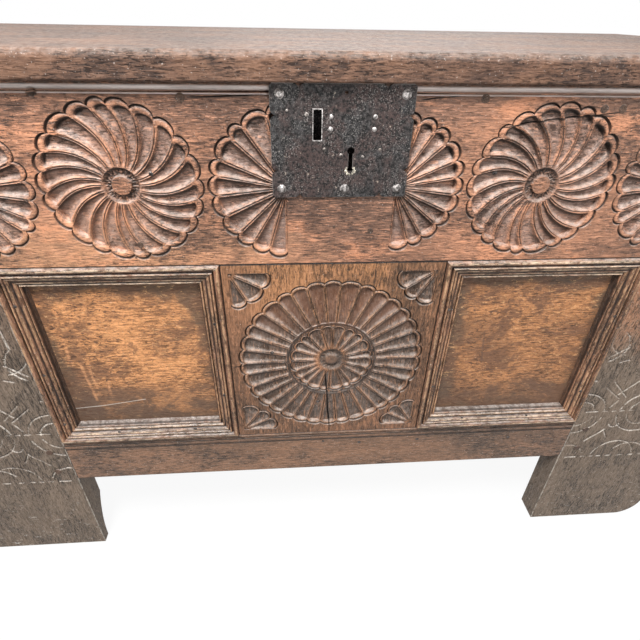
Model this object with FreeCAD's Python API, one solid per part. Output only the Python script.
"""Oak wedding chest of frame and panel work, with its lid, hinges, chest lock and till.

Millimetres. X runs along the chest, to the right for someone who faces it. Y runs from
front to back and Z upwards. The origin is on the floor, in the middle of the chest's outer
box. Each piece of wood or iron is a solid of its own.
"""

import FreeCAD, Part
import math
import os

V = FreeCAD.Vector

# Overall sizes of the carcase
chest_width = 1310.0
chest_depth = 600.0
rim_height = 808.0

# One overrun serves every cut that passes a surface
overrun = 6.0

# Front and back frames
frame_thick = 44.0
stile_width = 225.0
top_rail_height = 209.0
bottom_rail_low = 193.0
bottom_rail_height = 92.0
front_muntin_width = 296.0
back_top_rail_height = 132.0
back_muntin_width = 160.0

# Side frames
side_thick = 30.0
side_top_rail_height = 132.0
side_bottom_rail_height = 92.0
side_muntin_width = 90.0

# Mortise and tenon joints
tenon_thick = 14.0
tenon_setback = 15.0
tenon_length = 62.0
tenon_shoulder = 20.0
short_tenon_length = 28.0
side_tenon_thick = 10.0
joint_play = 0.2
mortise_end_room = 2.0

# Panels, each loose in its groove
panel_thick = 12.0
panel_setback = 15.0
side_panel_thick = 10.0
side_panel_setback = 10.0
groove_depth = 12.0
panel_play = 0.2
panel_shrink_room = 2.0

# Pegs of cleft oak, eight-sided, driven through the joints
peg_radius = 5.0
peg_length = 30.0
peg_proud = 0.8
peg_inset = 27.0
peg_height_shares = (0.24, 0.76)
peg_play = 0.1

# Edge mouldings worked on the two front rails
rim_bead_radius = 4.5
rim_quirk_width = 2.0
rim_quirk_depth = 2.5
sill_band_height = 16.0
sill_bead_radius = 3.5
sill_quirk_width = 1.8
sill_quirk_depth = 2.2
sill_edge_radius = 4.0

# Mitred mouldings planted round the two front panels
moulding_width = 32.0
moulding_fillet = 2.0
moulding_rise = 1.0
outer_bead_width = 7.0
outer_bead_rise = 3.0
bead_quirk_width = 1.0
bead_quirk_depth = 2.5
inner_bead_width = 6.0
inner_bead_rise = 2.5
inner_bead_drop = 1.0
ogee_quirk_depth = 3.0
ogee_quirk_width = 1.5
ogee_width = 12.0
ogee_drop = 7.0
ogee_bulge = 1.2

# Worn feet: the left one has lost its inner rear corner, the right one its outer one
left_wear_radius = 270.0
left_wear_reach = 20.5
left_wear_height = 118.0
right_wear_radius = 46.0

# Floor of three boards that lie in a groove
floor_thick = 18.0
floor_low = 212.0
floor_groove_depth = 12.0
floor_board_count = 3
floor_lap_width = 10.0
floor_play = 0.4

# Till across the left end
till_width = 130.0
till_wall_thick = 14.0
till_rim_drop = 168.0
till_wall_height = 134.0
till_bottom_thick = 12.0
till_bottom_raise = 10.0
till_housing_depth = 8.0
till_lid_thick = 12.0
till_lid_nose = 6.0
till_lid_side_gap = 1.0
till_pivot_inset = 15.0
pintle_radius = 4.6
pintle_length = 10.0
pintle_play = 0.08

# Lid of two boards between grooved end boards
lid_thick = 28.0
lid_front_overhang = 12.0
lid_end_overhang = 15.0
lid_end_board_width = 84.0
lid_front_board_width = 322.0
lid_tongue_thick = 9.0
lid_tongue_length = 10.0
lid_joint_play = 0.2
lid_nosing_radius = 9.0

# Strap hinges behind the back edge
hinge_inset = 127.0
strap_width = 40.0
strap_tip_width = 24.0
strap_thick = 3.0
carcase_strap_length = 330.0
lid_strap_length = 430.0
knuckle_radius = 7.0
knuckle_gap = 1.0
knuckle_end_play = 0.4
lid_knuckle_width = 15.0
hinge_pin_radius = 3.5
hinge_pin_play = 0.06
hinge_pin_proud = 2.0
strap_play = 0.3
carcase_strap_nail_shares = (0.16, 0.55, 0.92)
lid_strap_nail_shares = (0.2, 0.55, 0.92)

# Nails with eight-sided forged heads and square shanks
nail_head_radius = 5.0
nail_head_height = 2.6
nail_crown_share = 0.45
nail_shank_width = 3.4
nail_shank_length = 18.0
nail_play = 0.15

# Lock plate with a notch near each corner on every side; drops are below its upper edge
plate_left = -76.0
plate_right = 79.5
plate_rim_gap = 1.0
plate_height = 120.0
plate_thick = 2.5
plate_notch_inset = 31.0
plate_notch_depth = 7.0
plate_notch_half = 5.5
plate_corner_cut = 3.0
hasp_slot_x = -25.3
hasp_slot_width = 8.8
hasp_slot_drop = 25.0
hasp_slot_height = 31.4
keyhole_x = 12.5
keyhole_drop = 67.6
keyhole_radius = 4.2
key_stem_width = 4.8
key_stem_length = 19.0
key_foot_width = 9.5
key_foot_height = 3.5
spare_hole_x = 5.0
spare_hole_drop = 9.0
spare_hole_width = 3.6
lock_nail_inset_x = 10.5
lock_nail_inset_z = 10.0
lock_middle_nail_x = 7.0

# Lock case let into the top rail behind the plate
case_left = -57.0
case_right = 65.0
case_drop = 19.0
case_height = 82.0
case_depth = 31.0
case_wall = 1.6
case_play = 0.5

# Bolt, its two guides, and the spring that steadies it
bolt_tip_gap = 1.5
bolt_length = 67.0
bolt_height = 10.0
bolt_thick = 5.0
bolt_setback = 4.0
bolt_drop = 38.5
bolt_throw = 16.0
talon_offset = 29.5
talon_width = 5.0
talon_gap = 10.0
talon_drop = 6.5
guide_offsets = (5.5, 53.5)
guide_width = 6.0
guide_wall = 2.0
guide_play = 0.3
spring_thick = 1.2
spring_width = 6.0
spring_foot_width = 5.0
spring_rise = 5.0
spring_reach = 36.0
spring_setback = 4.0
spring_sag_share = 0.25
rivet_radius = 2.4
rivet_head_height = 1.3
rivet_shank_radius = 1.5

# Places that follow from the sizes
half_width = chest_width / 2
stile_inner = half_width - stile_width
knuckle_reach = knuckle_gap + 2 * knuckle_radius
front_y = -(lid_front_overhang + chest_depth + knuckle_reach) / 2 + lid_front_overhang
back_y = front_y + chest_depth
inside_front = front_y + frame_thick
inside_back = back_y - frame_thick
middle_y = (inside_front + inside_back) / 2
side_inner = half_width - side_thick
sill_top = bottom_rail_low + bottom_rail_height
top_rail_low = rim_height - top_rail_height
pivot_y = back_y + knuckle_gap + knuckle_radius
pivot_z = rim_height
floor_top = floor_low + floor_thick
till_wall_high = rim_height - till_rim_drop
till_wall_low = till_wall_high - till_wall_height
till_bottom_low = till_wall_low + till_bottom_raise
till_pivot_x = -side_inner + till_pivot_inset
till_pivot_z = till_wall_high + till_lid_thick / 2
till_wall_x = -side_inner + till_width
hinge_centre_x = half_width - hinge_inset
plate_high = rim_height - plate_rim_gap
plate_low = plate_high - plate_height
hasp_slot_low = plate_high - hasp_slot_drop - hasp_slot_height
keyhole_z = plate_high - keyhole_drop
spare_hole_z = plate_high - spare_hole_drop
case_high = plate_high - case_drop
case_low = case_high - case_height
bolt_centre_z = plate_high - bolt_drop
bolt_tip_x = hasp_slot_x + hasp_slot_width / 2 + bolt_tip_gap

# A frame is its outer face, the way inwards, and the heights and widths that differ
FRONT = {"y": front_y, "way": 1, "top_low": top_rail_low, "muntin": front_muntin_width}
BACK = {
    "y": back_y,
    "way": -1,
    "top_low": rim_height - back_top_rail_height,
    "muntin": back_muntin_width,
}
LEFT, RIGHT = -1, 1


def block(x_range, y_range, z_range):
    """A box between the given ranges, whose ends may come in either order."""
    low = [min(pair) for pair in (x_range, y_range, z_range)]
    high = [max(pair) for pair in (x_range, y_range, z_range)]
    size = [b - a for a, b in zip(low, high)]
    return Part.makeBox(size[0], size[1], size[2], V(*low))


def in_frame(frame, x_range, depth_range, z_range):
    """A box in the front or back frame, with its depth measured from the outer face."""
    y_range = [frame["y"] + frame["way"] * depth for depth in depth_range]
    return block(x_range, y_range, z_range)


def in_side(side, depth_range, y_range, z_range):
    """A box in the left or right side, with its depth measured from the outer face."""
    x_range = [side * (half_width - depth) for depth in depth_range]
    return block(x_range, y_range, z_range)


def cut_all(solid, tools):
    """The solid with every tool cut away from it."""
    for tool in tools:
        solid = solid.cut(tool)
    return solid


def fuse_all(solids):
    """One solid from pieces that belong together."""
    whole = solids[0]
    for solid in solids[1:]:
        whole = whole.fuse(solid)
    return whole.removeSplitter()


def grown(pair, room):
    """A range made wider by the same room at each end."""
    low, high = min(pair), max(pair)
    return (low - room, high + room)


def octagon(radius, height):
    """A regular eight-sided wire, square to Z, whose flats lie one radius from its middle."""
    corner = radius / math.cos(math.pi / 8)
    points = []
    for index in range(9):
        angle = math.pi / 8 + index * math.pi / 4
        points.append(V(corner * math.cos(angle), corner * math.sin(angle), height))
    return Part.makePolygon(points)


def forged_head(radius, height):
    """An eight-sided nail head that narrows to a flat crown."""
    low = octagon(radius, 0).Vertexes
    high = octagon(radius * nail_crown_share, height).Vertexes
    faces = [Part.Face(octagon(radius, 0)), Part.Face(octagon(radius * nail_crown_share, height))]
    for index in range(8):
        after = (index + 1) % 8
        corners = [low[index].Point, low[after].Point, high[after].Point, high[index].Point]
        faces.append(Part.Face(Part.makePolygon(corners + corners[:1])))
    return Part.makeSolid(Part.makeShell(faces))


def stand(solid, place, outward):
    """A solid made upright about the origin, set at its place and turned to face outward."""
    solid.Placement = FreeCAD.Placement(place, FreeCAD.Rotation(V(0, 0, 1), outward))
    return solid


# Nails and pegs

def nail(place, outward):
    """A forged nail whose head sits on the surface at its place."""
    corner = V(-nail_shank_width / 2, -nail_shank_width / 2, -nail_shank_length)
    shank = Part.makeBox(nail_shank_width, nail_shank_width, nail_shank_length, corner)
    return stand(fuse_all([forged_head(nail_head_radius, nail_head_height), shank]), place, outward)


def nail_hole(place, outward):
    """The hole that a nail's shank goes into, open at the surface."""
    width = nail_shank_width + 2 * nail_play
    length = nail_shank_length + overrun + nail_play
    corner = V(-width / 2, -width / 2, -nail_shank_length - nail_play)
    return stand(Part.makeBox(width, width, length, corner), place, outward)


def peg(place, outward):
    """A peg that stands a little proud of the surface at its place."""
    face = Part.Face(octagon(peg_radius, -peg_length))
    return stand(face.extrude(V(0, 0, peg_length + peg_proud)), place, outward)


def peg_hole(place, outward):
    """The hole for one peg."""
    face = Part.Face(octagon(peg_radius + peg_play, -peg_length - peg_play))
    return stand(face.extrude(V(0, 0, peg_length + peg_play + overrun)), place, outward)


def frame_peg_places(frame):
    """Places and outward directions of the pegs that hold one frame's rails."""
    places = []
    spans = ((bottom_rail_low, sill_top), (frame["top_low"], rim_height))
    for side in (LEFT, RIGHT):
        for low, high in spans:
            for share in peg_height_shares:
                x = side * (stile_inner + peg_inset)
                z = low + share * (high - low)
                places.append((V(x, frame["y"], z), V(0, -frame["way"], 0)))
    return places


# Frames at the front and the back

def rail_tenon_range(low, high):
    """Heights of a rail's tenon between its shoulders."""
    return (low + tenon_shoulder, high - tenon_shoulder)


def tenon_depths():
    """Depths of a tenon's two faces behind the frame's outer face."""
    return (tenon_setback, tenon_setback + tenon_thick)


def groove_depths():
    """Depths of the panel groove's two walls behind the frame's outer face."""
    return (panel_setback - panel_play, panel_setback + panel_thick + panel_play)


def frame_rail(frame, low, high, panel_edge):
    """A rail with a tenon at each end and a groove along the edge that holds the panels."""
    solid = in_frame(frame, (-stile_inner, stile_inner), (0, frame_thick), (low, high))
    reach = stile_inner + tenon_length
    tenon = in_frame(frame, (-reach, reach), tenon_depths(), rail_tenon_range(low, high))
    solid = fuse_all([solid, tenon])
    inward = groove_depth if panel_edge == low else -groove_depth
    outward = -overrun if panel_edge == low else overrun
    groove = in_frame(
        frame,
        (-stile_inner, stile_inner),
        groove_depths(),
        (panel_edge + outward, panel_edge + inward),
    )
    half = frame["muntin"] / 2 - tenon_shoulder + joint_play
    mortise_end = short_tenon_length + mortise_end_room
    mortise = in_frame(
        frame,
        (-half, half),
        grown(tenon_depths(), joint_play),
        (panel_edge + outward, panel_edge + math.copysign(mortise_end, inward)),
    )
    solid = cut_all(solid, [groove, mortise])
    return cut_all(solid, [peg_hole(place, way) for place, way in frame_peg_places(frame)])


def frame_muntin(frame):
    """The upright board between the two panels, tenoned into both rails."""
    half = frame["muntin"] / 2
    low, high = sill_top, frame["top_low"]
    solid = in_frame(frame, (-half, half), (0, frame_thick), (low, high))
    inner = half - tenon_shoulder
    span = (low - short_tenon_length, high + short_tenon_length)
    solid = fuse_all([solid, in_frame(frame, (-inner, inner), tenon_depths(), span)])
    grooves = []
    for side in (LEFT, RIGHT):
        x_range = (side * (half - groove_depth), side * (half + overrun))
        grooves.append(in_frame(frame, x_range, groove_depths(), (low, high)))
    return cut_all(solid, grooves)


def frame_panel(frame, side):
    """A panel that stands on the bottom of its groove, with room to shrink at its sides."""
    tongue = groove_depth - panel_shrink_room
    x_range = (side * (frame["muntin"] / 2 - tongue), side * (stile_inner + tongue))
    z_range = (sill_top - groove_depth, frame["top_low"] + tongue)
    return in_frame(frame, x_range, (panel_setback, panel_setback + panel_thick), z_range)


def frame_stile(frame, side):
    """A stile that runs down to the floor as a foot, with all the joints cut in it."""
    edge = side * stile_inner
    solid = in_frame(frame, (side * half_width, edge), (0, frame_thick), (0, rim_height))
    tools = []
    mortise_x = (edge - side * overrun, edge + side * (tenon_length + mortise_end_room))
    for low, high in ((bottom_rail_low, sill_top), (frame["top_low"], rim_height)):
        heights = grown(rail_tenon_range(low, high), joint_play)
        tools.append(in_frame(frame, mortise_x, grown(tenon_depths(), joint_play), heights))
    groove_x = (edge - side * overrun, edge + side * groove_depth)
    groove_z = (sill_top - groove_depth, frame["top_low"] + groove_depth)
    tools.append(in_frame(frame, groove_x, groove_depths(), groove_z))
    tools.extend(side_joint_tools(frame, side))
    tools.append(floor_groove(frame))
    if side == LEFT:
        tools.extend(till_tools())
    if frame is BACK:
        tools.extend(nail_hole(place, way) for place, way in carcase_nail_places(side))
    tools.extend(peg_hole(place, way) for place, way in frame_peg_places(frame))
    tools.extend(peg_hole(place, way) for place, way in side_peg_places(side))
    return cut_all(solid, tools)


def floor_groove(frame):
    """The groove inside one frame for the ends of the floor boards."""
    depths = (frame_thick - floor_groove_depth, frame_thick + overrun)
    return in_frame(frame, (-side_inner, side_inner), depths, (floor_low, floor_top))


# Side frames

def side_groove_depths():
    """Depths of the groove for the side panels behind the side's outer face."""
    return (side_panel_setback - panel_play, side_panel_setback + side_panel_thick + panel_play)


def side_tenon_depths():
    """Depths of a side tenon's faces, in line with the panel groove."""
    return (side_panel_setback, side_panel_setback + side_tenon_thick)


def side_rail_spans():
    """Heights of the two rails of a side."""
    return (
        (bottom_rail_low, bottom_rail_low + side_bottom_rail_height),
        (rim_height - side_top_rail_height, rim_height),
    )


def side_opening():
    """Heights between the two rails of a side."""
    lower, upper = side_rail_spans()
    return (lower[1], upper[0])


def side_joint_tools(frame, side):
    """Mortises and groove that a stile has on its inner face for one side of the chest."""
    tools = []
    into = (frame_thick - short_tenon_length - mortise_end_room, frame_thick + overrun)
    y_range = [frame["y"] + frame["way"] * depth for depth in into]
    for low, high in side_rail_spans():
        heights = grown(rail_tenon_range(low, high), joint_play)
        tools.append(in_side(side, grown(side_tenon_depths(), joint_play), y_range, heights))
    low, high = side_opening()
    depths = (frame_thick - groove_depth, frame_thick + overrun)
    y_range = [frame["y"] + frame["way"] * depth for depth in depths]
    heights = (low - groove_depth, high + groove_depth)
    tools.append(in_side(side, side_groove_depths(), y_range, heights))
    return tools


def side_peg_places(side):
    """Places of the pegs that hold the side rails in the stiles, one in each tenon."""
    places = []
    for low, high in side_rail_spans():
        for frame in (FRONT, BACK):
            y = frame["y"] + frame["way"] * (frame_thick - short_tenon_length / 2)
            places.append((V(side * half_width, y, (low + high) / 2), V(side, 0, 0)))
    return places


def side_rail(side, span, panel_edge):
    """A side rail, tenoned into the stiles and grooved for the side panels."""
    low, high = span
    solid = in_side(side, (0, side_thick), (inside_front, inside_back), (low, high))
    reach = (inside_front - short_tenon_length, inside_back + short_tenon_length)
    tenon = in_side(side, side_tenon_depths(), reach, rail_tenon_range(low, high))
    solid = fuse_all([solid, tenon])
    way = 1 if panel_edge == low else -1
    groove = in_side(
        side,
        side_groove_depths(),
        (inside_front, inside_back),
        (panel_edge - way * overrun, panel_edge + way * groove_depth),
    )
    half = side_muntin_width / 2 - tenon_shoulder + joint_play
    mortise = in_side(
        side,
        grown(side_tenon_depths(), joint_play),
        (middle_y - half, middle_y + half),
        (panel_edge - way * overrun, panel_edge + way * (short_tenon_length + mortise_end_room)),
    )
    solid = cut_all(solid, [groove, mortise])
    return cut_all(solid, [peg_hole(place, out) for place, out in side_peg_places(side)])


def side_muntin(side):
    """The short upright in the middle of a side."""
    half = side_muntin_width / 2
    low, high = side_opening()
    y_range = (middle_y - half, middle_y + half)
    solid = in_side(side, (0, side_thick), y_range, (low, high))
    inner = half - tenon_shoulder
    tenon = in_side(
        side,
        side_tenon_depths(),
        (middle_y - inner, middle_y + inner),
        (low - short_tenon_length, high + short_tenon_length),
    )
    solid = fuse_all([solid, tenon])
    for way in (-1, 1):
        y_groove = (middle_y + way * (half - groove_depth), middle_y + way * (half + overrun))
        solid = solid.cut(in_side(side, side_groove_depths(), y_groove, (low, high)))
    return solid


def side_panel(side, frame):
    """The side panel next to the front or the back frame."""
    tongue = groove_depth - panel_shrink_room
    way = frame["way"]
    near_stile = frame["y"] + way * (frame_thick - tongue)
    near_muntin = middle_y - way * (side_muntin_width / 2 - tongue)
    low, high = side_opening()
    return in_side(
        side,
        (side_panel_setback, side_panel_setback + side_panel_thick),
        (near_stile, near_muntin),
        (low - groove_depth, high + tongue),
    )


# Front rails with their worked edges

def edge_bead(radius, high):
    """What is cut away to leave a half-round bead along a front rail's upper edge."""
    x_range = (-stile_inner - overrun, stile_inner + overrun)
    waste = in_frame(FRONT, x_range, (-overrun, radius), (high - 2 * radius, high + overrun))
    start = V(x_range[0], front_y + radius, high - radius)
    rod = Part.makeCylinder(radius, x_range[1] - x_range[0], start, V(1, 0, 0))
    return waste.cut(rod)


def front_quirk(high, width, depth):
    """A sunk line along a front rail, below the given height."""
    x_range = (-stile_inner - overrun, stile_inner + overrun)
    return in_frame(FRONT, x_range, (-overrun, depth), (high - width, high))


def front_top_rail():
    """The wide carved rail, with a bead along its rim and the mortise for the lock."""
    solid = frame_rail(FRONT, top_rail_low, rim_height, top_rail_low)
    bead_low = rim_height - 2 * rim_bead_radius
    tools = [
        edge_bead(rim_bead_radius, rim_height),
        front_quirk(bead_low, rim_quirk_width, rim_quirk_depth),
        in_frame(
            FRONT,
            grown((case_left, case_right), case_play),
            (-overrun, case_depth + case_play),
            grown((case_low, case_high), case_play),
        ),
    ]
    tools.extend(nail_hole(place, way) for place, way in lock_nail_places())
    return cut_all(solid, tools)


def front_bottom_rail():
    """The lower front rail, with a moulded band along its top and a soft lower edge."""
    solid = frame_rail(FRONT, bottom_rail_low, sill_top, sill_top)
    tools = [
        edge_bead(sill_bead_radius, sill_top),
        front_quirk(sill_top - 2 * sill_bead_radius, sill_quirk_width, sill_quirk_depth),
        front_quirk(sill_top - sill_band_height, sill_quirk_width, sill_quirk_depth),
        floor_groove(FRONT),
        soft_lower_edge(),
    ]
    return cut_all(solid, tools)


def back_bottom_rail():
    """The lower back rail, grooved inside for the floor."""
    return frame_rail(BACK, bottom_rail_low, sill_top, sill_top).cut(floor_groove(BACK))


def soft_lower_edge():
    """What years of wear took from the lower front arris of the bottom rail."""
    radius = sill_edge_radius
    x_range = (-stile_inner, stile_inner)
    waste = in_frame(
        FRONT,
        x_range,
        (-overrun, radius),
        (bottom_rail_low - overrun, bottom_rail_low + radius),
    )
    start = V(-stile_inner, front_y + radius, bottom_rail_low + radius)
    return waste.cut(Part.makeCylinder(radius, 2 * stile_inner, start, V(1, 0, 0)))


def worn_left_stile():
    """The left front stile, with the inner rear corner of its foot worn away."""
    solid = frame_stile(FRONT, LEFT)
    reach = left_wear_radius - left_wear_reach
    centre = V(
        -stile_inner + reach * math.sqrt(0.5),
        inside_front + reach * math.sqrt(0.5),
        0,
    )
    ball = Part.makeSphere(left_wear_radius, centre)
    limit = block((-half_width, stile_inner), (front_y, inside_back), (-overrun, left_wear_height))
    return solid.cut(ball.common(limit))


def worn_right_stile():
    """The right front stile, with the outer corner of its foot worn round."""
    solid = frame_stile(FRONT, RIGHT)
    radius = right_wear_radius
    waste = in_frame(
        FRONT,
        (half_width - radius, half_width + overrun),
        (-overrun, frame_thick + overrun),
        (-overrun, radius),
    )
    start = V(half_width - radius, front_y - overrun, radius)
    rod = Part.makeCylinder(radius, frame_thick + 2 * overrun, start, V(0, 1, 0))
    return solid.cut(waste.cut(rod))


# Planted mouldings

def moulding_profile(place):
    """The moulding's outline. The place function turns (inward, height) into a point."""
    top = panel_setback + moulding_rise
    bead_a = moulding_fillet
    bead_b = bead_a + outer_bead_width
    bead_c = bead_b + bead_quirk_width
    inner_top = top - inner_bead_drop
    bead_d = bead_c + inner_bead_width
    ogee_a = bead_d + ogee_quirk_width
    ogee_b = ogee_a + ogee_width
    ogee_low = inner_top - ogee_drop
    middle = (ogee_a + ogee_b) / 2
    half_drop = (inner_top + ogee_low) / 2
    quarter = ogee_width / 4
    upper_bulge = (inner_top + half_drop) / 2 + ogee_bulge
    lower_hollow = (ogee_low + half_drop) / 2 - ogee_bulge
    runs = [
        [(0, 0), (0, top), (bead_a, top)],
        [(bead_a, top), ((bead_a + bead_b) / 2, top + outer_bead_rise), (bead_b, top)],
        [
            (bead_b, top),
            (bead_b, top - bead_quirk_depth),
            (bead_c, top - bead_quirk_depth),
            (bead_c, inner_top),
        ],
        [(bead_c, inner_top), ((bead_c + bead_d) / 2, inner_top + inner_bead_rise), (bead_d, inner_top)],
        [
            (bead_d, inner_top),
            (bead_d, inner_top - ogee_quirk_depth),
            (ogee_a, inner_top - ogee_quirk_depth),
            (ogee_a, inner_top),
        ],
        [(ogee_a, inner_top), (middle - quarter, upper_bulge), (middle, half_drop)],
        [(middle, half_drop), (middle + quarter, lower_hollow), (ogee_b, ogee_low)],
        [(ogee_b, ogee_low), (moulding_width, ogee_low), (moulding_width, 0), (0, 0)],
    ]
    curved = (1, 3, 5, 6)
    edges = []
    for index, run in enumerate(runs):
        spots = [place(u, v) for u, v in run]
        if index in curved:
            edges.append(Part.Arc(*spots).toShape())
        else:
            edges.extend(Part.LineSegment(a, b).toShape() for a, b in zip(spots, spots[1:]))
    return Part.Wire(edges)


def moulding(side, edge):
    """One length of moulding, mitred at both ends, along one edge of a front panel."""
    x_low, x_high = sorted((side * front_muntin_width / 2, side * stile_inner))
    z_low, z_high = sill_top, top_rail_low
    face_y = front_y + panel_setback
    middle_x, middle_z = (x_low + x_high) / 2, (z_low + z_high) / 2
    half_x, half_z = (x_high - x_low) / 2, (z_high - z_low) / 2
    if edge in ("top", "bottom"):
        outer, way = (z_high, -1) if edge == "top" else (z_low, 1)
        wire = moulding_profile(lambda u, v: V(x_low, face_y - v, outer + way * u))
        run = V(x_high - x_low, 0, 0)
        corners = [
            (middle_x - half_x, outer),
            (middle_x + half_x, outer),
            (middle_x + half_x - moulding_width, outer + way * moulding_width),
            (middle_x - half_x + moulding_width, outer + way * moulding_width),
        ]
    else:
        at_low = (edge == "inner") == (side == RIGHT)
        outer, way = (x_low, 1) if at_low else (x_high, -1)
        wire = moulding_profile(lambda u, v: V(outer + way * u, face_y - v, z_low))
        run = V(0, 0, z_high - z_low)
        corners = [
            (outer, middle_z - half_z),
            (outer, middle_z + half_z),
            (outer + way * moulding_width, middle_z + half_z - moulding_width),
            (outer + way * moulding_width, middle_z - half_z + moulding_width),
        ]
    length = Part.Face(wire).extrude(run)
    y_start = front_y - overrun
    points = [V(x, y_start, z) for x, z in corners + corners[:1]]
    mitre = Part.Face(Part.makePolygon(points)).extrude(V(0, panel_setback + 2 * overrun, 0))
    return length.common(mitre)


# Floor and till

def floor_board(index):
    """One floor board, front to back, half lapped with the next one."""
    width = (2 * side_inner - 2 * floor_play) / floor_board_count
    x_low = -side_inner + floor_play + index * width
    x_high = x_low + width
    reach = floor_groove_depth - floor_play
    y_range = (inside_front - reach, inside_back + reach)
    solid = block((x_low, x_high), y_range, (floor_low, floor_top))
    half = floor_low + floor_thick / 2
    if index > 0:
        lip = block((x_low - floor_lap_width + floor_play, x_low), y_range, (floor_low, half))
        solid = fuse_all([solid, lip])
    if index < floor_board_count - 1:
        rebate = block((x_high - floor_lap_width, x_high), y_range, (floor_low, half))
        solid = solid.cut(rebate)
    return solid


def till_end_range():
    """How far the till's boards reach into the front and back stiles."""
    return (inside_front - till_housing_depth, inside_back + till_housing_depth)


def till_wall():
    """The upright board of the till, grooved for its bottom board."""
    x_range = (till_wall_x, till_wall_x + till_wall_thick)
    solid = block(x_range, till_end_range(), (till_wall_low, till_wall_high))
    groove = block(
        (till_wall_x - overrun, till_wall_x + till_wall_thick / 2),
        grown(till_end_range(), overrun),
        (till_bottom_low, till_bottom_low + till_bottom_thick),
    )
    return solid.cut(groove)


def till_bottom():
    """The bottom board of the till, housed at both ends and in the till's wall."""
    x_range = (-side_inner, till_wall_x + till_wall_thick / 2)
    heights = (till_bottom_low, till_bottom_low + till_bottom_thick)
    return block(x_range, till_end_range(), heights)


def till_tools():
    """Housings and pintle holes for the till in the two left stiles."""
    reach = grown(till_end_range(), joint_play)
    wall_x = (till_wall_x, till_wall_x + till_wall_thick)
    bottom_heights = (till_bottom_low, till_bottom_low + till_bottom_thick)
    wall = block(wall_x, reach, (till_wall_low, till_wall_high))
    bottom = block((-side_inner, till_wall_x + till_wall_thick / 2), reach, bottom_heights)
    hole_reach = pintle_length + till_lid_side_gap + mortise_end_room
    holes = pintle_rod(pintle_radius + pintle_play, hole_reach - till_lid_side_gap)
    return [wall, bottom, holes]


def pintle_rod(radius, reach):
    """A round rod on the till lid's axis, which reaches the same way into both stiles."""
    start = V(till_pivot_x, inside_front - reach, till_pivot_z)
    return Part.makeCylinder(radius, inside_back - inside_front + 2 * reach, start, V(0, 1, 0))


def till_lid():
    """The till's lid, with a rounded back edge and a wooden pintle at each end."""
    y_range = (inside_front + till_lid_side_gap, inside_back - till_lid_side_gap)
    x_range = (till_pivot_x, till_wall_x + till_wall_thick + till_lid_nose)
    board = block(x_range, y_range, (till_wall_high, till_wall_high + till_lid_thick))
    start = V(till_pivot_x, y_range[0], till_pivot_z)
    back = Part.makeCylinder(till_lid_thick / 2, y_range[1] - y_range[0], start, V(0, 1, 0))
    return fuse_all([board, back, pintle_rod(pintle_radius, pintle_length)])


# Lid

def lid_slab():
    """The lid's whole outline, rounded along its upper front and end edges."""
    half = half_width + lid_end_overhang
    y_range = (front_y - lid_front_overhang, back_y)
    slab = block((-half, half), y_range, (rim_height, rim_height + lid_thick))
    top = rim_height + lid_thick
    edges = []
    for edge in slab.Edges:
        centre = edge.CenterOfMass
        if abs(centre.z - top) < joint_play and abs(centre.y - back_y) > joint_play:
            edges.append(edge)
    return slab.makeFillet(lid_nosing_radius, edges)


def lid_split():
    """The places that part the lid: its inner length and the joint of its two boards."""
    inner = half_width + lid_end_overhang - lid_end_board_width
    return inner, front_y - lid_front_overhang + lid_front_board_width


def lid_tongue_heights(room):
    """Heights of the tongue in the middle of the lid's thickness."""
    middle = rim_height + lid_thick / 2
    return (middle - lid_tongue_thick / 2 - room, middle + lid_tongue_thick / 2 + room)


def lid_board(name):
    """The front or back board of the lid."""
    inner, joint_y = lid_split()
    heights = (rim_height - overrun, rim_height + lid_thick + overrun)
    y_front = front_y - lid_front_overhang - overrun
    tongue_inset = lid_tongue_length + lid_nosing_radius
    if name == "front":
        solid = lid_slab().common(block((-inner, inner), (y_front, joint_y), heights))
        y_range = (joint_y, joint_y + lid_tongue_length)
        solid = fuse_all([solid, block((-inner, inner), y_range, lid_tongue_heights(0))])
        y_ends = (front_y - lid_front_overhang + tongue_inset, joint_y)
    else:
        solid = lid_slab().common(block((-inner, inner), (joint_y, back_y + overrun), heights))
        y_range = (joint_y - overrun, joint_y + lid_tongue_length + lid_joint_play)
        x_range = (-inner - overrun, inner + overrun)
        solid = solid.cut(block(x_range, y_range, lid_tongue_heights(lid_joint_play)))
        y_ends = (joint_y + tongue_inset, back_y - tongue_inset)
    reach = inner + lid_tongue_length
    solid = fuse_all([solid, block((-reach, reach), y_ends, lid_tongue_heights(0))])
    tools = []
    for side in (LEFT, RIGHT):
        tools.append(lid_strap_bed(side))
        tools.extend(nail_hole(place, way) for place, way in lid_nail_places(side))
    return cut_all(solid, tools)


def lid_end_board(side):
    """An end board of the lid, grooved for the tongues of the two long boards."""
    inner, _ = lid_split()
    outer = half_width + lid_end_overhang + overrun
    y_range = (front_y - lid_front_overhang - overrun, back_y + overrun)
    heights = (rim_height - overrun, rim_height + lid_thick + overrun)
    solid = lid_slab().common(block((side * inner, side * outer), y_range, heights))
    reach = inner + lid_tongue_length + lid_joint_play
    y_groove = (
        front_y - lid_front_overhang + lid_tongue_length + lid_nosing_radius - lid_joint_play,
        back_y - lid_tongue_length - lid_nosing_radius + lid_joint_play,
    )
    x_groove = (side * (inner - overrun), side * reach)
    return solid.cut(block(x_groove, y_groove, lid_tongue_heights(lid_joint_play)))


# Hinges

def strap_outline(length, room):
    """A strap's face from its hinge end at zero to its round tip, along the Y axis."""
    half = strap_width / 2 + room
    tip = strap_tip_width / 2 + room
    end = length - strap_tip_width / 2
    top = V(0, end + tip, 0)
    edges = [
        Part.LineSegment(V(-half, 0, 0), V(half, 0, 0)).toShape(),
        Part.LineSegment(V(half, 0, 0), V(tip, end, 0)).toShape(),
        Part.Arc(V(tip, end, 0), top, V(-tip, end, 0)).toShape(),
        Part.LineSegment(V(-tip, end, 0), V(-half, 0, 0)).toShape(),
    ]
    return Part.Face(Part.Wire(edges))


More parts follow.
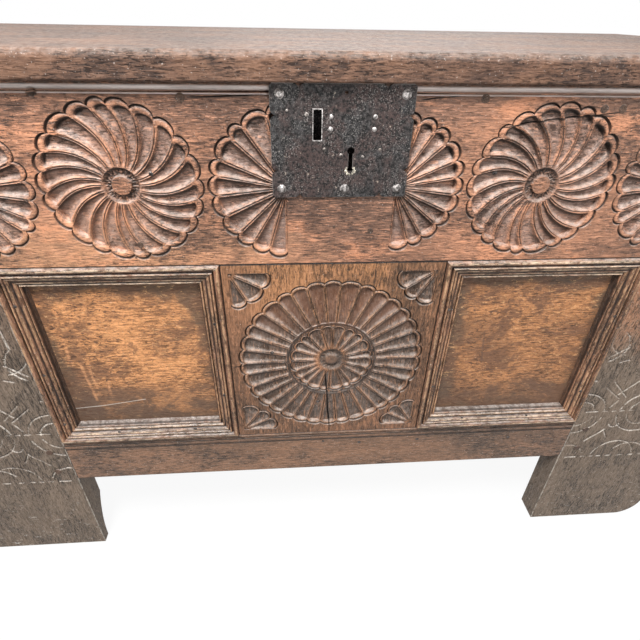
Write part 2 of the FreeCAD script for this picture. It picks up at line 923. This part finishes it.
def lid_strap_blade(side, room):
    """The flat of a lid strap, let into the lid's underside from the back edge forward."""
    blade = strap_outline(lid_strap_length, room).extrude(V(0, 0, strap_thick))
    blade.rotate(V(0, 0, 0), V(0, 0, 1), 180)
    blade.translate(V(side * hinge_centre_x, back_y, rim_height))
    return blade


def lid_strap_bed(side):
    """The recess for a lid strap, open below and behind."""
    bed = lid_strap_blade(side, strap_play)
    half = strap_width / 2 + strap_play
    x_range = grown((side * hinge_centre_x, side * hinge_centre_x), half)
    heights = (rim_height - overrun, rim_height + strap_thick)
    mouth = block(x_range, (back_y - joint_play, back_y + overrun), heights)
    return bed.fuse(mouth)


def hinge_rod(side, half_length, radius):
    """A round rod on the lid's axis, centred on one hinge."""
    start = V(side * hinge_centre_x - half_length, pivot_y, pivot_z)
    return Part.makeCylinder(radius, 2 * half_length, start, V(1, 0, 0))


def lid_strap(side):
    """A lid strap whose middle knuckle turns on the pin."""
    half = lid_knuckle_width / 2
    centre = side * hinge_centre_x
    neck = block(
        (centre - half, centre + half),
        (back_y, pivot_y),
        (rim_height, rim_height + strap_thick),
    )
    knuckle = hinge_rod(side, half, knuckle_radius)
    solid = fuse_all([lid_strap_blade(side, 0), neck, knuckle])
    tools = [hinge_rod(side, strap_width, hinge_pin_radius + hinge_pin_play)]
    tools.extend(nail_hole(place, way) for place, way in lid_nail_places(side))
    return cut_all(solid, tools)


def carcase_strap(side):
    """A strap on the back of a stile, with a knuckle each side of the lid's knuckle."""
    centre = side * hinge_centre_x
    blade = strap_outline(carcase_strap_length, 0).extrude(V(0, 0, strap_thick))
    blade.rotate(V(0, 0, 0), V(1, 0, 0), -90)
    blade.translate(V(centre, back_y, rim_height))
    knuckles = hinge_rod(side, strap_width / 2, knuckle_radius)
    solid = fuse_all([blade, knuckles])
    half = lid_knuckle_width / 2 + knuckle_end_play
    clear = knuckle_radius + knuckle_gap
    gap = block(
        (centre - half, centre + half),
        (back_y - overrun, pivot_y + clear),
        (rim_height - clear, rim_height + clear),
    )
    tools = [gap, hinge_rod(side, strap_width, hinge_pin_radius + hinge_pin_play)]
    tools.extend(nail_hole(place, way) for place, way in carcase_nail_places(side))
    return cut_all(solid, tools)


def hinge_pins():
    """Both hinge pins."""
    half = strap_width / 2 + hinge_pin_proud
    return Part.makeCompound([hinge_rod(side, half, hinge_pin_radius) for side in (LEFT, RIGHT)])


def carcase_nail_places(side):
    """Places of the nails in one carcase strap."""
    places = []
    for share in carcase_strap_nail_shares:
        z = rim_height - share * carcase_strap_length
        places.append((V(side * hinge_centre_x, back_y + strap_thick, z), V(0, 1, 0)))
    return places


def lid_nail_places(side):
    """Places of the nails in one lid strap, driven from below."""
    places = []
    for share in lid_strap_nail_shares:
        y = back_y - share * lid_strap_length
        places.append((V(side * hinge_centre_x, y, rim_height), V(0, 0, -1)))
    return places


# Lock

def lock_nail_places():
    """Five nails of the lock plate: one near each corner, one low in the middle."""
    left, right = plate_left + lock_nail_inset_x, plate_right - lock_nail_inset_x
    low, high = plate_low + lock_nail_inset_z, plate_high - lock_nail_inset_z
    spots = [(left, high), (right, high), (left, low), (right, low), (lock_middle_nail_x, low)]
    return [(V(x, front_y - plate_thick, z), V(0, -1, 0)) for x, z in spots]


def plate_notch(x, z, inward):
    """A notch with rounded shoulders in the plate's edge, as a prism."""
    along = V(abs(inward.z), 0, abs(inward.x))
    edge = V(x, front_y, z)
    tip = edge + inward * plate_notch_depth
    outer = edge - inward * overrun
    start, end = edge - along * plate_notch_half, edge + along * plate_notch_half
    rise = inward * (plate_notch_depth / 3)
    lean = along * (plate_notch_half / 3)
    wire = Part.Wire([
        Part.Arc(start, start + lean * 2 + rise, tip).toShape(),
        Part.Arc(tip, end - lean * 2 + rise, end).toShape(),
        Part.LineSegment(end, outer + along * plate_notch_half).toShape(),
        Part.LineSegment(outer + along * plate_notch_half, outer - along * plate_notch_half).toShape(),
        Part.LineSegment(outer - along * plate_notch_half, start).toShape(),
    ])
    return Part.Face(wire).extrude(V(0, -plate_thick - overrun, 0))


def through_plate(x_range, z_range):
    """A box through the lock plate."""
    return block(x_range, (front_y - plate_thick - overrun, front_y + overrun), z_range)


def keyhole():
    """The keyhole: a round top, a stem and a flared foot."""
    start = V(keyhole_x, front_y + overrun, keyhole_z)
    top = Part.makeCylinder(keyhole_radius, plate_thick + 2 * overrun, start, V(0, -1, 0))
    foot_low = keyhole_z - key_stem_length - key_foot_height
    stem = through_plate(
        grown((keyhole_x, keyhole_x), key_stem_width / 2),
        (keyhole_z - key_stem_length - key_foot_height, keyhole_z),
    )
    foot = through_plate(
        grown((keyhole_x, keyhole_x), key_foot_width / 2),
        (foot_low, foot_low + key_foot_height),
    )
    return fuse_all([top, stem, foot])


def rivet_places():
    """Rivets of the guides, beside each guide's legs, and of the case, below the bolt."""
    above = bolt_centre_z + bolt_height / 2 + guide_play + guide_wall / 2
    below = bolt_centre_z - bolt_height / 2 - guide_play - guide_wall / 2
    first, second = [bolt_tip_x + offset + guide_width / 2 for offset in guide_offsets]
    return [(first, above), (first, below), (second, above), (second, below)]


def lock_plate():
    """The iron plate, with its notches, hasp slot, keyhole, nail holes and rivet holes."""
    face_range = (front_y - plate_thick, front_y)
    solid = block((plate_left, plate_right), face_range, (plate_low, plate_high))
    corners = []
    for edge in solid.Edges:
        if abs(edge.tangentAt(edge.FirstParameter).y) > nail_crown_share:
            corners.append(edge)
    solid = solid.makeChamfer(plate_corner_cut, corners)
    tools = []
    for x in (plate_left + plate_notch_inset, plate_right - plate_notch_inset):
        tools.append(plate_notch(x, plate_high, V(0, 0, -1)))
        tools.append(plate_notch(x, plate_low, V(0, 0, 1)))
    for z in (plate_low + plate_notch_inset, plate_high - plate_notch_inset):
        tools.append(plate_notch(plate_left, z, V(1, 0, 0)))
        tools.append(plate_notch(plate_right, z, V(-1, 0, 0)))
    slot_x = grown((hasp_slot_x, hasp_slot_x), hasp_slot_width / 2)
    tools.append(through_plate(slot_x, (hasp_slot_low, hasp_slot_low + hasp_slot_height)))
    tools.append(keyhole())
    spare = grown((0, 0), spare_hole_width / 2)
    spare_x = [spare_hole_x + value for value in spare]
    tools.append(through_plate(spare_x, [spare_hole_z + value for value in spare]))
    tools.extend(nail_hole(place, way) for place, way in lock_nail_places())
    for x, z in rivet_places():
        tools.append(rivet(x, z, nail_play))
    return cut_all(solid, tools)


def rivet(x, z, room):
    """A rivet through the plate, or with some room the hole for its shank."""
    if room:
        shank = Part.Face(octagon(rivet_shank_radius + room, -plate_thick - overrun))
        solid = shank.extrude(V(0, 0, plate_thick + 2 * overrun))
    else:
        shank = Part.Face(octagon(rivet_shank_radius, -plate_thick))
        head = forged_head(rivet_radius, rivet_head_height)
        solid = fuse_all([head, shank.extrude(V(0, 0, plate_thick))])
    return stand(solid, V(x, front_y - plate_thick, z), V(0, -1, 0))


def lock_case():
    """The sheet iron box of the lock, open towards the plate."""
    outer = in_frame(FRONT, (case_left, case_right), (0, case_depth), (case_low, case_high))
    inner = in_frame(
        FRONT,
        grown((case_left, case_right), -case_wall),
        (-overrun, case_depth - case_wall),
        grown((case_low, case_high), -case_wall),
    )
    return outer.cut(inner)


def bolt_heights():
    """Heights of the bolt's two edges."""
    return (bolt_centre_z - bolt_height / 2, bolt_centre_z + bolt_height / 2)


def lock_bolt():
    """The bolt, drawn back, with two talons below it that the key pushes."""
    depths = (bolt_setback, bolt_setback + bolt_thick)
    low, high = bolt_heights()
    bar = in_frame(FRONT, (bolt_tip_x, bolt_tip_x + bolt_length), depths, (low, high))
    pieces = [bar]
    first = bolt_tip_x + talon_offset
    for x in (first, first + talon_width + talon_gap):
        pieces.append(in_frame(FRONT, (x, x + talon_width), depths, (low - talon_drop, low)))
    return fuse_all(pieces)


def lock_guides():
    """Two bridges on the back of the plate that the bolt slides through."""
    low, high = bolt_heights()
    inner = grown((low, high), guide_play)
    outer = grown(inner, guide_wall)
    clear = bolt_setback + bolt_thick + guide_play
    guides = []
    for offset in guide_offsets:
        x_range = (bolt_tip_x + offset, bolt_tip_x + offset + guide_width)
        bridge = in_frame(FRONT, x_range, (0, clear + guide_wall), outer)
        passage = in_frame(FRONT, grown(x_range, overrun), (-overrun, clear), inner)
        guides.append(bridge.cut(passage))
    return Part.makeCompound(guides)


def lock_spring():
    """A leaf spring from the case's top wall down to the bolt's upper edge."""
    roof = case_high - case_wall
    low = bolt_heights()[1] + guide_play
    right = bolt_tip_x + guide_offsets[1] - guide_wall
    left = right - spring_reach
    y = front_y + spring_setback
    outer_right = V(right, y, low + spring_rise)
    outer_mid = V(left + spring_reach * spring_sag_share, y, low)
    outer_left = V(left, y, low + spring_thick)
    lift = V(0, 0, spring_thick)
    wire = Part.Wire([
        Part.Arc(outer_left, outer_mid, outer_right).toShape(),
        Part.LineSegment(outer_right, outer_right + lift).toShape(),
        Part.Arc(outer_right + lift, outer_mid + lift, outer_left + lift).toShape(),
        Part.LineSegment(outer_left + lift, outer_left).toShape(),
    ])
    leaf = Part.Face(wire).extrude(V(0, spring_width, 0))
    foot = block(
        (right - spring_foot_width, right),
        (y, y + spring_width),
        (low + spring_rise, roof),
    )
    return fuse_all([leaf, foot])


def build():
    """Every piece of the chest, by name."""
    pieces = {
        "front_stile_left": worn_left_stile(),
        "front_stile_right": worn_right_stile(),
        "front_top_rail": front_top_rail(),
        "front_bottom_rail": front_bottom_rail(),
        "front_muntin": frame_muntin(FRONT),
        "front_panel_left": frame_panel(FRONT, LEFT),
        "front_panel_right": frame_panel(FRONT, RIGHT),
        "back_stile_left": frame_stile(BACK, LEFT),
        "back_stile_right": frame_stile(BACK, RIGHT),
        "back_top_rail": frame_rail(BACK, BACK["top_low"], rim_height, BACK["top_low"]),
        "back_bottom_rail": back_bottom_rail(),
        "back_muntin": frame_muntin(BACK),
        "back_panel_left": frame_panel(BACK, LEFT),
        "back_panel_right": frame_panel(BACK, RIGHT),
        "till_wall": till_wall(),
        "till_bottom": till_bottom(),
        "till_lid": till_lid(),
        "lid_board_front": lid_board("front"),
        "lid_board_back": lid_board("back"),
        "hinge_pins": hinge_pins(),
        "lock_plate": lock_plate(),
        "lock_case": lock_case(),
        "lock_bolt": lock_bolt(),
        "lock_guides": lock_guides(),
        "lock_spring": lock_spring(),
    }
    for index in range(floor_board_count):
        pieces[f"floor_board_{index + 1}"] = floor_board(index)
    lower, upper = side_rail_spans()
    pegs = [peg(place, way) for frame in (FRONT, BACK) for place, way in frame_peg_places(frame)]
    strap_nails, lid_nails = [], []
    for side, word in ((LEFT, "left"), (RIGHT, "right")):
        for edge in ("top", "bottom", "outer", "inner"):
            pieces[f"moulding_{word}_{edge}"] = moulding(side, edge)
        pieces[f"side_{word}_top_rail"] = side_rail(side, upper, upper[0])
        pieces[f"side_{word}_bottom_rail"] = side_rail(side, lower, lower[1])
        pieces[f"side_{word}_muntin"] = side_muntin(side)
        pieces[f"side_{word}_panel_front"] = side_panel(side, FRONT)
        pieces[f"side_{word}_panel_back"] = side_panel(side, BACK)
        pieces[f"lid_end_{word}"] = lid_end_board(side)
        pieces[f"lid_strap_{word}"] = lid_strap(side)
        pieces[f"hinge_strap_{word}"] = carcase_strap(side)
        pegs.extend(peg(place, way) for place, way in side_peg_places(side))
        strap_nails.extend(nail(place, way) for place, way in carcase_nail_places(side))
        lid_nails.extend(nail(place, way) for place, way in lid_nail_places(side))
    lock_nails = [nail(place, way) for place, way in lock_nail_places()]
    pieces["frame_pegs"] = Part.makeCompound(pegs)
    pieces["hinge_strap_nails"] = Part.makeCompound(strap_nails)
    pieces["lid_strap_nails"] = Part.makeCompound(lid_nails)
    pieces["lock_nails"] = Part.makeCompound(lock_nails)
    pieces["lock_rivets"] = Part.makeCompound([rivet(x, z, 0) for x, z in rivet_places()])
    return pieces


os.makedirs("parts", exist_ok=True)
for name, shape in build().items():
    shape.exportStep(f"parts/{name}.step")
    print(f"{name}: {len(shape.Solids)} solid, {shape.Volume / 1000:.1f} cm3, valid {shape.isValid()}")
